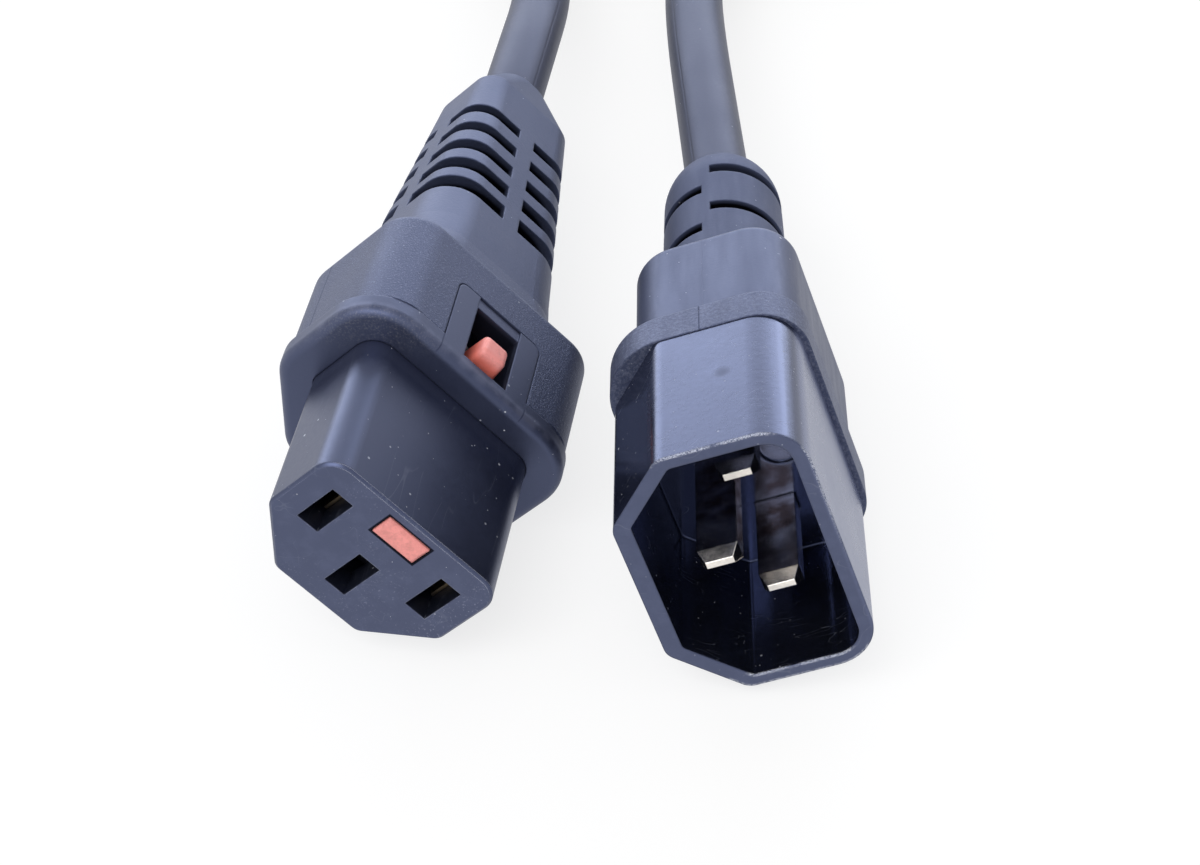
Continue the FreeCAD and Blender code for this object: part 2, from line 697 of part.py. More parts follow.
def make_overmould():
    """Soft flange and body behind the shell, and a round strain relief with staggered half-ring slots."""
    mould = new_body("c14_overmould")
    prism(mould, "trunk", rectangle("trunk_half", "trunk_top", "trunk_drop"), "shell_back", "trunk_back")
    soften(mould, "trunk_round", long_edge(lambda centre: True), "trunk_round")
    soften(mould, "trunk_edge", edge_at(size("trunk_back")), "trunk_edge")
    flange = rectangle("flange_half", "flange_top", "flange_drop")
    prism(mould, "flange", flange, "shell_back", "flange_back")
    corner = size("flange_half") - CLOSE
    soften(mould, "flange_round", long_edge(lambda c: abs(c.x) > corner and c.z > 0), "flange_round")
    soften(mould, "flange_low_round", long_edge(lambda c: abs(c.x) > corner and c.z < -size("trunk_drop")),
           "flange_low_round")
    boot = outline_boot(mould)
    turned = mould.newObject("PartDesign::Revolution", "boot")
    turned.Profile = boot
    turned.ReferenceAxis = (boot, ["V_Axis"])
    turned.Angle = 360
    doc.recompute()
    for step in range(BOOT_SLOTS):
        start = f"boot_slot_first + {step} * boot_slot_pitch"
        side = -1 if step % 2 == 0 else 1
        z = ("boot_rib", "2 * boot_radius") if side > 0 else ("-2 * boot_radius", "-boot_rib")
        low = ("-2 * boot_radius", start, f"boot_z + {z[0]}")
        high = ("2 * boot_radius", f"{start} + boot_slot_wide", f"boot_z + {z[1]}")
        block(mould, f"boot_slot_{step}", low, high, cut=True)
    rod(mould, "boot_core", "boot_core", "0", "trunk_back - past", "boot_back - past", "boot_z")
    root = grown("shell_half", "shell_top", "shell_drop", "shell_corner", "fit - spigot_inset")
    prism(mould, "root_seat", hexagon(*root), "shell_back", "spigot_back + fit", cut=True)
    low = ("-trunk_hollow_half", "spigot_back", "-trunk_hollow_drop")
    high = ("trunk_hollow_half", "trunk_hollow_back", "trunk_hollow_top")
    block(mould, "crimp_hollow", low, high, cut=True)
    wide = ("trunk_hollow_half", "-trunk_hollow_drop", "trunk_hollow_top")
    neck = ("boot_hollow_half", "boot_z - boot_hollow_tall", "boot_z + boot_hollow_tall")
    slim = ("core_bundle", "boot_z - core_bundle", "boot_z + core_bundle")
    taper(mould, "core_hollow", "trunk_hollow_back", "trunk_back", wide, neck, cut=True)
    taper(mould, "core_neck", "trunk_back", "plug_core_gather", neck, slim, cut=True)
    end = "boot_tip + past"
    rod(mould, "cable_bore", "cable_dia / 2 + fit", "0", "plug_core_gather", end, "boot_z", cut=True)
    return mould


def outline_boot(owner):
    """Half section of the round strain relief: a tapering wall, then a shoulder arc down to the cable."""
    sketch = owner.newObject("Sketcher::SketchObject", "boot_outline")
    level = next(f for f in owner.Origin.OriginFeatures if f.Role == "XY_Plane")
    sketch.AttachmentSupport = [(level, "")]
    sketch.MapMode = "FlatFace"
    sketch.setExpression("AttachmentOffset.Base.z", bind("boot_z"))
    corners = [
        ("0", "trunk_back - past"),
        ("boot_radius", "trunk_back - past"),
        ("boot_end_radius", "boot_back"),
        ("boot_tip_radius", "boot_tip"),
        ("0", "boot_tip"),
    ]
    points = [V(size(x), size(y), 0) for x, y in corners]
    shoulder = V(size("boot_end_radius"), size("boot_back + boot_tip") / 2, 0)
    sketch.addGeometry(Part.LineSegment(points[0], points[1]))
    sketch.addGeometry(Part.LineSegment(points[1], points[2]))
    sketch.addGeometry(Part.Arc(points[2], shoulder, points[3]))
    sketch.addGeometry(Part.LineSegment(points[3], points[4]))
    sketch.addGeometry(Part.LineSegment(points[4], points[0]))
    start_of_arc = 2 if sketch.getPoint(2, 1).distanceToPoint(points[2]) > CLOSE else 1
    joints = ((0, 2, 1, 1), (2, 3 - start_of_arc, 3, 1), (3, 2, 4, 1), (4, 2, 0, 1))
    for joint in joints:
        sketch.addConstraint(Sketcher.Constraint("Coincident", *joint))
    sketch.addConstraint(Sketcher.Constraint("Tangent", 1, 2, 2, start_of_arc))
    for geometry, corner, point in zip((0, 1, 1, 3, 3), corners, points):
        vertex = 1 if corner in (corners[0], corners[1], corners[3]) else 2
        for kind, value, expression in zip(("DistanceX", "DistanceY"), point, corner):
            index = sketch.addConstraint(Sketcher.Constraint(kind, -1, 1, geometry, vertex, value))
            sketch.setExpression(f"Constraints[{index}]", bind(expression))
    doc.recompute()
    return sketch


def route(points):
    """Wire of straight runs joined by tangent arcs as large as the runs allow, and the arcs' radii."""
    edges = []
    radii = []
    last = points[0]
    for before, here, after in zip(points, points[1:], points[2:]):
        into = (here - before).normalize()
        out = (after - here).normalize()
        turn = into.getAngle(out)
        reach = BEND_SHARE * min(before.distanceToPoint(here), here.distanceToPoint(after))
        start = here - into * reach
        end = here + out * reach
        radius = reach / math.tan(turn / 2)
        bulge = (out - into).normalize()
        crest = here + bulge * (radius / math.cos(turn / 2) - radius)
        edges.append(Part.LineSegment(last, start).toShape())
        edges.append(Part.Arc(start, crest, end).toShape())
        radii.append(radius)
        last = end
    edges.append(Part.LineSegment(last, points[-1]).toShape())
    return Part.Wire(edges), radii


def swept(name, path, points, radius, corners):
    """Round solid along a wire, with mitred corners where asked."""
    start = (points[1] - points[0]).normalize()
    section = Part.Wire(Part.makeCircle(radius, points[0], start))
    made = doc.addObject("Part::Feature", name)
    made.Label = name
    made.Shape = path.makePipeShell([section], True, False, RIGHT_CORNER if corners else TANGENT)
    expected = math.pi * radius ** 2 * path.Length
    print(name, "length", round(path.Length, 1), "volume share", round(made.Shape.Volume / expected, 4))
    return made


def tube(name, points, radius):
    """Round solid along a route of straight runs and arcs."""
    path, radii = route(points)
    print(name, "tightest arc", round(min(radii), 1))
    return swept(name, path, points, radius, corners=False)


def make_core(name, pole, start_y, gather_y, sheath_end, bundle_z):
    """Insulated core from its crimp to the bundle of three and on to the end of the sheath."""
    x, z = next((size(x), size(z)) for label, x, z in poles() if label == pole)
    angle = {"line": 150, "neutral": 30, "earth": 270}[pole]
    circle = size("core_circle")
    end_x = circle * math.cos(math.radians(angle))
    end_z = bundle_z + circle * math.sin(math.radians(angle))
    points = [
        V(x, start_y, z),
        V(x, start_y + size("core_straight"), z),
        V(end_x, gather_y - size("core_early"), end_z),
        V(end_x, sheath_end, end_z),
    ]
    return swept(name, Part.makePolygon(points), points, size("core_radius"), corners=True)


# four strands side by side: distance of a strand from the bundle's middle, and of the bundle's outside
STRAND_RING = size("cable_dia") / math.sqrt(2)
BUNDLE_REACH = STRAND_RING + size("cable_dia") / 2


def make_coil():
    """Outer shape of the coiled cable, four turns side by side in an octagon, and the strap round it."""
    hub = V(size("coil_x"), size("coil_y"), 0)
    covered = math.degrees(size("tie_wide") / size("coil_radius"))

    def octagon(reach):
        """Face across the ring at the near edge of the strap, its flats at the given reach."""
        corners = []
        for step in range(SIDES + 1):
            angle = math.pi / SIDES * (2 * step + 1)
            corner = V(math.cos(angle), 0, math.sin(angle)) * (reach / math.cos(math.pi / SIDES))
            corners.append(hub + V(size("coil_radius"), 0, BUNDLE_REACH) + corner)
        face = Part.Face(Part.makePolygon(corners))
        face.rotate(hub, V(0, 0, 1), 90 - covered / 2)
        return face

    outer = octagon(BUNDLE_REACH)
    inner = octagon(BUNDLE_REACH - size("tie_thick"))
    rest = outer.copy()
    rest.rotate(hub, V(0, 0, 1), covered)
    held = inner.revolve(hub, V(0, 0, 1), covered)
    made = {
        "cord_coil": rest.revolve(hub, V(0, 0, 1), 360 - covered).fuse(held),
        "cord_tie": outer.revolve(hub, V(0, 0, 1), covered).cut(held),
    }
    features = []
    for name, shape in made.items():
        feature = doc.addObject("Part::Feature", name)
        feature.Label = name
        feature.Shape = shape
        features.append(feature)
    return features


def chamfer_height():
    """Distance from the pole line to the flat of the lip's lower corner, which lies on the table."""
    return size("lip_half + lip_drop - lip_corner") / math.sqrt(2)


SOCKET = FreeCAD.Placement(V(size("socket_x"), size("socket_y"), chamfer_height()),
                           FreeCAD.Rotation(V(0, 1, 0), size("socket_roll")))
PLUG = FreeCAD.Placement(V(size("plug_x"), size("plug_y"), size("plug_z")),
                         FreeCAD.Rotation(V(0, 0, 1), size("plug_yaw"))
                         * FreeCAD.Rotation(V(1, 0, 0), size("plug_pitch"))
                         * FreeCAD.Rotation(V(0, 1, 0), size("plug_roll")))

socket_parts = [make_nose(), make_lock_housing(), make_shroud(), make_slider()]
socket_parts += [make_contact(pole, x, z) for pole, x, z in poles()]
barrel_end = size("nose_back + fit + barrel_long")
for pole in CONTACT_POLES:
    socket_parts.append(make_core(f"c13_{pole}_core", pole, barrel_end, size("core_gather"),
                                  size("sheath_end"), size("relief_z")))
plate = make_locking_plate()
spring = make_spring()
plug_parts = [make_shell(), make_overmould()]
plug_parts += [make_pin(pole, x, z) for pole, x, z in poles()]
pin_end = size("pin_back + barrel_long")
for pole in CONTACT_POLES:
    plug_parts.append(make_core(f"c14_{pole}_core", pole, pin_end, size("plug_core_gather"),
                                size("plug_sheath_end - lap"), size("boot_z")))

for piece in socket_parts:
    piece.Placement = SOCKET
for piece in plug_parts:
    piece.Placement = PLUG
tilt = FreeCAD.Rotation(V(1, 0, 0), size("plate_tilt"))
plate.Placement = SOCKET * FreeCAD.Placement(V(0, size("plate_hinge_y"), size("plate_hinge_z")), tilt)
seat = V(0, size("bar_back + spring_wire"), size("channel_low + channel_high") / 2)
spring.Placement = SOCKET * FreeCAD.Placement(seat, FreeCAD.Rotation(V(1, 0, 0), -90))

socket_sheath = SOCKET.multVec(V(0, size("sheath_end"), size("relief_z")))
socket_mouth = SOCKET.multVec(V(0, size("tail_end + straight_out"), size("relief_z")))
plug_sheath = PLUG.multVec(V(0, size("plug_sheath_end"), size("boot_z")))
coil_left = V(size("coil_x - coil_radius") - STRAND_RING, size("coil_y"), BUNDLE_REACH)
coil_right = V(size("coil_x + coil_radius + cable_dia / 2"), size("coil_y"), STRAND_RING)

# the cable leaves each connector, sinks to the table and bends outward to the coil's side
SOCKET_LEAD = [
    socket_sheath,
    socket_mouth,
    V(-19.4, 71.1, 10.2),
    V(-23.2, 87.1, 6.9),
    V(-31.2, 101.7, 4.4),
    V(-40.6, 112.9, 4.0),
    V(-48.6, 126.1, 4.8),
    V(-52.6, 140.9, 7.3),
    coil_left,
]
PLUG_LEAD = [
    plug_sheath,
    V(5.6, 40.9, 11.9),
    V(1.1, 64.3, 10.7),
    V(-1.1, 81.9, 8.2),
    V(2.2, 98.3, 5.2),
    V(10.0, 112.7, 4.0),
    V(18.8, 125.1, 3.8),
    V(24.0, 138.5, 4.2),
    coil_right,
]
cord_parts = [
    tube("cord_c13_run", SOCKET_LEAD, size("cable_dia") / 2),
    tube("cord_c14_run", PLUG_LEAD, size("cable_dia") / 2),
]
cord_parts += make_coil()

doc.recompute()
pieces = socket_parts + [plate, spring] + plug_parts + cord_parts
failed = [o.Name for o in doc.Objects if "Invalid" in o.State or "Error" in o.State]
broken = [p.Label for p in pieces if p.Shape.isNull() or not p.Shape.isValid()]
if failed or broken:
    raise RuntimeError(f"failed {failed}, broken {broken}")
os.makedirs("parts", exist_ok=True)
for piece in pieces:
    piece.Shape.exportStep(f"parts/{piece.Label}.step")
    print(piece.Label, round(piece.Shape.Volume, 1), len(piece.Shape.Solids), piece.Shape.BoundBox)
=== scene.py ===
"""Looks of the power cord: charcoal mouldings, red lock parts, plated pins and the tied cable."""

import json
import math
import bpy
import numpy as np
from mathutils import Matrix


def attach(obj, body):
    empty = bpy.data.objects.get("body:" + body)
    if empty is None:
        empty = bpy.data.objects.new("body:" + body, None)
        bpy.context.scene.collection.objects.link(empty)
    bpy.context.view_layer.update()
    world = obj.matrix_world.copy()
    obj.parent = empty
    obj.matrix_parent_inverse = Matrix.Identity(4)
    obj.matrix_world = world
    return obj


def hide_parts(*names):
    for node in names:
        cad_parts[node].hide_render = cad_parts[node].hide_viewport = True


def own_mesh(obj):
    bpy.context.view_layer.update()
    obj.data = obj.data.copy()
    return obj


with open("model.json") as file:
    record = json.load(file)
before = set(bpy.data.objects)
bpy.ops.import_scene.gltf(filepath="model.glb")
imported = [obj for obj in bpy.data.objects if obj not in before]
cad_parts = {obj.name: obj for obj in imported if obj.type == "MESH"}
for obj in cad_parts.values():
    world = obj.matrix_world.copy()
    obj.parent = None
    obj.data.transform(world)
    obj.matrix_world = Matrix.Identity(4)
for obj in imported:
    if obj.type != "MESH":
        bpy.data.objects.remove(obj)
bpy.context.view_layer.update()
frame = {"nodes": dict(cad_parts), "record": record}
MM = 0.001


# Shader maths

class Value:
    """A shader value: arithmetic on it adds Math nodes to its finish."""

    def __init__(self, finish, socket):
        self.finish = finish
        self.socket = socket

    def math(self, operation, *others):
        """Result of a Math node that has this value as its first input."""
        sockets = dict(enumerate((self, *others)))
        return self.finish.node("ShaderNodeMath", {"operation": operation}, sockets)

    def __add__(self, other):
        return self.math("ADD", other)

    def __mul__(self, other):
        return self.math("MULTIPLY", other)

    def __sub__(self, other):
        return self.math("SUBTRACT", other)

    def __rsub__(self, other):
        return self.finish.node("ShaderNodeMath", {"operation": "SUBTRACT"}, {0: other, 1: self})

    def __truediv__(self, other):
        return self.math("DIVIDE", other)

    def __pow__(self, other):
        return self.math("POWER", other)

    def __abs__(self):
        return self.math("ABSOLUTE")

    __radd__ = __add__
    __rmul__ = __mul__

    def other(self, output):
        """Another output of the node that this value comes from."""
        return Value(self.finish, self.socket.node.outputs[output])


class Finish:
    """A material in the making: one Principled shader and the nodes that feed it."""

    def __init__(self, name, **constants):
        self.material = bpy.data.materials.new(name)
        self.material.use_nodes = True
        self.tree = self.material.node_tree
        self.shader = next(n for n in self.tree.nodes if n.type == "BSDF_PRINCIPLED")
        for socket, number in constants.items():
            self.shader.inputs[socket.replace("_", " ")].default_value = number
        self.place = self.node("ShaderNodeTexCoord", out="Object")

    def node(self, kind, settings=None, sockets=None, out=0):
        """Adds a node with its settings and the values or links of its sockets, and gives one output."""
        made = self.tree.nodes.new(kind)
        for key, setting in (settings or {}).items():
            setattr(made, key, setting)
        for key, given in (sockets or {}).items():
            if isinstance(given, Value):
                self.tree.links.new(given.socket, made.inputs[key])
            else:
                made.inputs[key].default_value = given
        return Value(self, made.outputs[out])

    def feed(self, socket, value):
        """Links a value to a socket of the shader."""
        self.tree.links.new(value.socket, self.shader.inputs[socket])

    def along(self, axis, zero=0.0):
        """Millimetres along a unit axis, counted from the plane at the given number of metres."""
        sockets = {0: self.place, 1: tuple(float(a) / MM for a in axis)}
        run = self.node("ShaderNodeVectorMath", {"operation": "DOT_PRODUCT"}, sockets, out="Value")
        return run - float(zero) / MM

    def local(self, seat):
        """Across, along and up in a connector's own frame, in millimetres."""
        return tuple(self.along(axis, np.dot(axis, seat["origin"])) for axis in seat["axes"])

    def vector(self, x, y, z):
        """Vector of three values."""
        return self.node("ShaderNodeCombineXYZ", sockets={0: x, 1: y, 2: z})

    def millimetres(self):
        """Object coordinates in millimetres."""
        sockets = {0: self.place, 1: (1 / MM,) * 3}
        return self.node("ShaderNodeVectorMath", {"operation": "MULTIPLY"}, sockets)

    def noise(self, scale, detail=2.0, rough=0.5, at=None):
        """Noise with about scale lumps per millimetre."""
        sockets = {"Vector": at or self.millimetres(), "Scale": scale, "Detail": detail, "Roughness": rough}
        return self.node("ShaderNodeTexNoise", {}, sockets, out="Fac")

    def specks(self, scale, size, share):
        """Spots of uneven size and strength in a share of a lattice's cells, scale cells a millimetre."""
        sockets = {"Vector": self.millimetres(), "Scale": scale}
        spot = self.node("ShaderNodeTexVoronoi", {}, sockets, out="Distance")
        pick = self.node("ShaderNodeSeparateColor", sockets={0: spot.other("Color")})
        kept = self.ramp(pick, 1 - share, 1.01 - share) * (pick.other("Blue") ** 2.0 * 0.8 + 0.2)
        return kept * self.ramp(spot / (pick.other("Green") + 0.3), size, 0.5 * size)

    def scratches(self, at, width):
        """Hairlines: where a smooth noise, drawn out along one way, passes its middle value."""
        drift = self.noise(1.0, 1.5, 0.5, at=at)
        return self.ramp(abs(drift - 0.5), width, 0.4 * width) * self.ramp(self.noise(0.25, 2.0), 0.5, 0.6)

    def rounded(self, radius):
        """Normal that turns smoothly over sharp edges, within a distance in millimetres."""
        return self.node("ShaderNodeBevel", {"samples": 6}, {"Radius": radius * MM}, out="Normal")

    def edges(self, radius):
        """0 on flats, rising toward edges: how far the rounded normal leans from the plain one."""
        plain = self.node("ShaderNodeNewGeometry", out="Normal")
        sockets = {0: self.rounded(radius), 1: plain}
        lean = self.node("ShaderNodeVectorMath", {"operation": "DOT_PRODUCT"}, sockets, out="Value")
        return 1.0 - lean

    def ramp(self, value, low, high):
        """0 below low, 1 above high, eased between; falls instead where low is the larger."""
        flip = low > high
        sockets = {0: value, 1: min(low, high), 2: max(low, high), 3: float(flip), 4: 1.0 - float(flip)}
        return self.node("ShaderNodeMapRange", {"interpolation_type": "SMOOTHSTEP"}, sockets)

    def band(self, value, low, high, soft):
        """1 between low and high, eased to 0 over soft on both sides."""
        return self.ramp(value, low - soft, low + soft) * self.ramp(value, high + soft, high - soft)

    def mix(self, amount, first, second):
        """Colour from the first to the second by an amount."""
        sockets = {0: amount, 6: colour(first), 7: colour(second)}
        return self.node("ShaderNodeMix", {"data_type": "RGBA"}, sockets, out=2)

    def bump(self, height, depth, under=None):
        """Bump of the given depth in millimetres."""
        sockets = {"Height": height, "Distance": depth * MM, "Strength": 1.0}
        if under:
            sockets["Normal"] = under
        return self.node("ShaderNodeBump", {}, sockets, out="Normal")


def colour(given):
    """A plain colour with full alpha, or a shader value as it is."""
    return given if isinstance(given, Value) else (*given, 1.0)


# Frames of the two connectors, as the solids have them

def turned(yaw, pitch, roll):
    """Across, along and up axes of a connector: the columns of Rz(yaw) Rx(pitch) Ry(roll)."""
    cz, sz = math.cos(math.radians(yaw)), math.sin(math.radians(yaw))
    cx, sx = math.cos(math.radians(pitch)), math.sin(math.radians(pitch))
    cy, sy = math.cos(math.radians(roll)), math.sin(math.radians(roll))
    about_z = np.array([[cz, -sz, 0], [sz, cz, 0], [0, 0, 1]])
    about_x = np.array([[1, 0, 0], [0, cx, -sx], [0, sx, cx]])
    about_y = np.array([[cy, 0, sy], [0, 1, 0], [-sy, 0, cy]])
    return (about_z @ about_x @ about_y).T


SOCKET = {"origin": np.array((-16.456, -40.684, 14.0007)) * MM, "axes": turned(0.0, 0.0, 45.0)}
PLUG = {"origin": np.array((19.631, -39.634, 16.857)) * MM, "axes": turned(7.37, -2.87, 70.64)}
# height of the cable's axis in each connector's own frame
SOCKET_CABLE_Z = -2.2
PLUG_CABLE_Z = -2.5


def seated(seat, point):
    """A point of a connector's own frame, in millimetres, as a point of the scene."""
    return seat["origin"] + np.array(point) * MM @ seat["axes"]


# Cord

CABLE = 7.2
CABLE_SIDES = 32
COIL_X, COIL_Y, COIL_RADIUS = -13.4, 149.5, 35.0
COIL_TURNS = 3.5
STRANDS = 4
BUNDLE_RING = CABLE / math.sqrt(2)
BUNDLE_MIDDLE = BUNDLE_RING + CABLE / 2
POINTS_PER_TURN = 16
SPLINE_ORDER = 3
SPLINE_STEPS = 8

# control points from each connector to the coil, in millimetres
SOCKET_LEAD = [
    seated(SOCKET, (0, 75.5, SOCKET_CABLE_Z)) / MM,
    seated(SOCKET, (0, 91.0, SOCKET_CABLE_Z)) / MM,
    (-18.6, 71.1, 10.2),
    (-22.4, 87.1, 6.9),
    (-31.2, 101.7, 4.4),
    (-40.6, 112.9, 4.0),
    (-48.6, 126.1, 4.8),
    (-52.6, 140.9, 7.3),
]
PLUG_LEAD = [
    seated(PLUG, (0, 62.0, PLUG_CABLE_Z)) / MM,
    (5.6, 40.9, 11.9),
    (1.1, 64.3, 10.7),
    (-1.1, 81.9, 8.2),
    (2.2, 98.3, 5.2),
    (10.0, 112.7, 4.0),
    (18.8, 125.1, 3.8),
    (24.0, 138.5, 4.2),
]


def coil_points():
    """Turns wound clockwise from the left side, the strand circling the bundle's middle once in four.

    A spline passes inside its control points, so these stand farther out: at a control point the curve
    takes three quarters of it and an eighth of each neighbour.
    """
    step = 2 * math.pi / POINTS_PER_TURN
    sweep = np.arange(0, COIL_TURNS * POINTS_PER_TURN + 1) * step
    lift = sweep / STRANDS
    outward = 1 / (0.75 + 0.25 * math.cos(step))
    reach = (COIL_RADIUS + BUNDLE_RING * np.cos(lift)) * outward
    x = COIL_X - reach * np.cos(sweep)
    y = COIL_Y + reach * np.sin(sweep)
    z = BUNDLE_MIDDLE + BUNDLE_RING * np.sin(lift)
    return [tuple(p) for p in np.stack((x, y, z), axis=1)]


def spline_line(points):
    """Points along the NURBS curve that has the route's points as its control points."""
    curve = bpy.data.curves.new("cable_route", "CURVE")
    curve.dimensions = "3D"
    curve.resolution_u = SPLINE_STEPS
    spline = curve.splines.new("NURBS")
    spline.points.add(len(points) - 1)
    controls = np.ones((len(points), 4))
    controls[:, :3] = np.array(points) * MM
    spline.points.foreach_set("co", controls.ravel())
    spline.use_endpoint_u = True
    spline.order_u = SPLINE_ORDER
    holder = bpy.data.objects.new("cable_route", curve)
    bpy.context.scene.collection.objects.link(holder)
    drawn = holder.evaluated_get(bpy.context.evaluated_depsgraph_get())
    mesh = bpy.data.meshes.new_from_object(drawn)
    line = np.empty(len(mesh.vertices) * 3)
    mesh.vertices.foreach_get("co", line)
    bpy.data.objects.remove(holder)
    bpy.data.meshes.remove(mesh)
    return line.reshape(-1, 3)


def ring_round(line, radius, sides, upright):
    """Circles along a line: cosine times a side vector, square to upright, plus sine times an up vector."""
    tangent = np.gradient(line, axis=0)
    tangent /= np.linalg.norm(tangent, axis=1, keepdims=True)
    side = np.cross(tangent, upright)
    side /= np.linalg.norm(side, axis=1, keepdims=True)
    up = np.cross(side, tangent)
    angle = np.arange(sides) * (2 * math.pi / sides)
    ring = np.cos(angle)[None, :, None] * side[:, None, :] + np.sin(angle)[None, :, None] * up[:, None, :]
    return line[:, None, :] + radius * ring


def grid_piece(name, grid, closed_u=False, closed_v=False, caps=False):
    """Mesh of one square a cell over a grid of points [u, v, 3], closed round u or v or capped along u."""
    rows, columns = grid.shape[:2]
    u_steps = np.arange(rows if closed_u else rows - 1)
    v_steps = np.arange(columns if closed_v else columns - 1)
    u, v = np.meshgrid(u_steps, v_steps, indexing="ij")
    square = ((0, 0), (1, 0), (1, 1), (0, 1))
    corners = [((u + du) % rows) * columns + (v + dv) % columns for du, dv in square]
    faces = np.stack([c.ravel() for c in corners], axis=1).tolist()
    if caps:
        faces.append(list(range(columns)))
        faces.append(list(range(rows * columns - 1, (rows - 1) * columns - 1, -1)))
    mesh = bpy.data.meshes.new(name)
    mesh.from_pydata(grid.reshape(-1, 3).tolist(), [], faces)
    mesh.shade_smooth()
    made = bpy.data.objects.new(name, mesh)
    bpy.context.scene.collection.objects.link(made)
    return made


def keep_on_points(piece, name, numbers):
    """Keeps a number for each point of the piece, under a name that a finish can read."""
    attribute = piece.data.attributes.new(name, "FLOAT", "POINT")
    attribute.data.foreach_set("value", np.asarray(numbers, np.float32).ravel())


def cable_mesh(line):
    """Round tube along the line, with the share of a turn round it kept on its points."""
    tube = ring_round(line, CABLE / 2 * MM, CABLE_SIDES, (0.0, 0.0, 1.0))
    piece = grid_piece("cable", tube, closed_v=True, caps=True)
    keep_on_points(piece, "round_cable", np.tile(np.arange(CABLE_SIDES) / CABLE_SIDES, len(line)))
    return piece


STRAP_THICK = 0.9
STRAP_WIDE = 12.0
STRAP_ACROSS = np.linspace(STRAP_WIDE / 2, -STRAP_WIDE / 2, 9)
STRAP_EDGE_LOSS = 0.25
STRAP_SLACK = 0.03
THREAD_PITCH = 0.7
BAND_FIRST, BAND_LAST, BAND_STEPS = 90.0, 450.0, 72
TAIL_FIRST, TAIL_LAST, TAIL_STEPS = 20.0, 165.0, 48
TAIL_GAP = 0.02
# direction of the first strand from the bundle's middle, where the strap is
STRAND_FIRST = 22.5
# room under the strap, and the share of its thickness that is left where it is pressed on the table
TABLE_ROOM = 0.02
PRESSED = 0.3


def strap_outline(grow, first, last, steps, closed=False):
    """Outline round the strands: for each direction the outermost strand's centre plus a radius that way.

    The radius is the cable's plus grow, and the outline is cut flat just above the table.
    """
    strands = np.radians(STRAND_FIRST + np.arange(STRANDS) * 360 / STRANDS)
    centres = BUNDLE_RING * np.stack((np.cos(strands), np.sin(strands)), axis=1)
    angle = np.linspace(math.radians(first), math.radians(last), steps, endpoint=not closed)
    out = np.stack((np.cos(angle), np.sin(angle)), axis=1)
    farthest = centres[np.argmax(out @ centres.T, axis=1)]
    outline = farthest + (CABLE / 2 + grow) * out
    outline[:, 1] = np.maximum(outline[:, 1], TABLE_ROOM + PRESSED * grow - BUNDLE_MIDDLE)
    return outline


def strap_layers(outline):
    """The outline repeated across the strap's width, each copy turned a little about the ring's middle."""
    turn = (STRAP_ACROSS / COIL_RADIUS)[:, None]
    reach = COIL_RADIUS + outline[..., 0]
    x = COIL_X + reach * np.sin(turn)
    y = COIL_Y + reach * np.cos(turn)
    z = BUNDLE_MIDDLE + outline[..., 1]
    return np.stack(np.broadcast_arrays(x, y, z), axis=2) * MM


def threads(piece, along, across):
    """Keeps on the points how far along and across the strap they lie, in millimetres."""
    lengthwise, crosswise = np.broadcast_arrays(along[None, :], across[:, None])
    keep_on_points(piece, "thread_along", lengthwise)
    keep_on_points(piece, "thread_across", crosswise)


def run_along(outline):
    """Length of the outline up to each of its points."""
    steps = np.linalg.norm(np.diff(outline, axis=0), axis=1)
    return np.concatenate(((0.0,), np.cumsum(steps)))


def make_strap():
    """Woven strap: a closed band, thinned by an eighth power toward its edges, and its tail on top."""
    thin = 1 - STRAP_EDGE_LOSS * (2 * np.abs(STRAP_ACROSS) / STRAP_WIDE)[:, None, None] ** 8
    inner = strap_outline(STRAP_SLACK, BAND_FIRST, BAND_LAST, BAND_STEPS, closed=True)
    outer = strap_outline(STRAP_THICK, BAND_FIRST, BAND_LAST, BAND_STEPS, closed=True)
    outside = strap_layers(inner + (outer - inner) * thin)
    inside = strap_layers(inner)
    band = grid_piece("coil_strap", np.concatenate((outside, inside[::-1])), closed_u=True, closed_v=True)
    threads(band, run_along(outer), np.concatenate((STRAP_ACROSS, STRAP_ACROSS[::-1])))
    inner = strap_outline(STRAP_THICK + TAIL_GAP, TAIL_FIRST, TAIL_LAST, TAIL_STEPS)
    outer = strap_outline(2 * STRAP_THICK, TAIL_FIRST, TAIL_LAST, TAIL_STEPS)
    above = inner + (outer - inner) * thin
    below = np.broadcast_to(inner[::-1], above.shape)
    layers = strap_layers(np.concatenate((above, below), axis=1))
    flap = grid_piece("strap_tail", layers, closed_v=True, caps=True)
    along = run_along(outer)
    threads(flap, np.concatenate((along, along[::-1])), STRAP_ACROSS)
    return band, flap


cable_line = spline_line(SOCKET_LEAD + coil_points() + PLUG_LEAD[::-1])
cable = cable_mesh(cable_line)
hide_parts("cord_c13_run", "cord_c14_run", "cord_coil")
strap, strap_tail = make_strap()
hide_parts("cord_tie")


# Return spring

SPRING_END = 30.4
SPRING_LONG = 4.5
SPRING_Z = 3.1
SPRING_RADIUS = 0.95
SPRING_WIRE = 0.17
SPRING_TURNS = 5
SPRING_STEPS_PER_TURN = 36
SPRING_WIRE_SIDES = 12


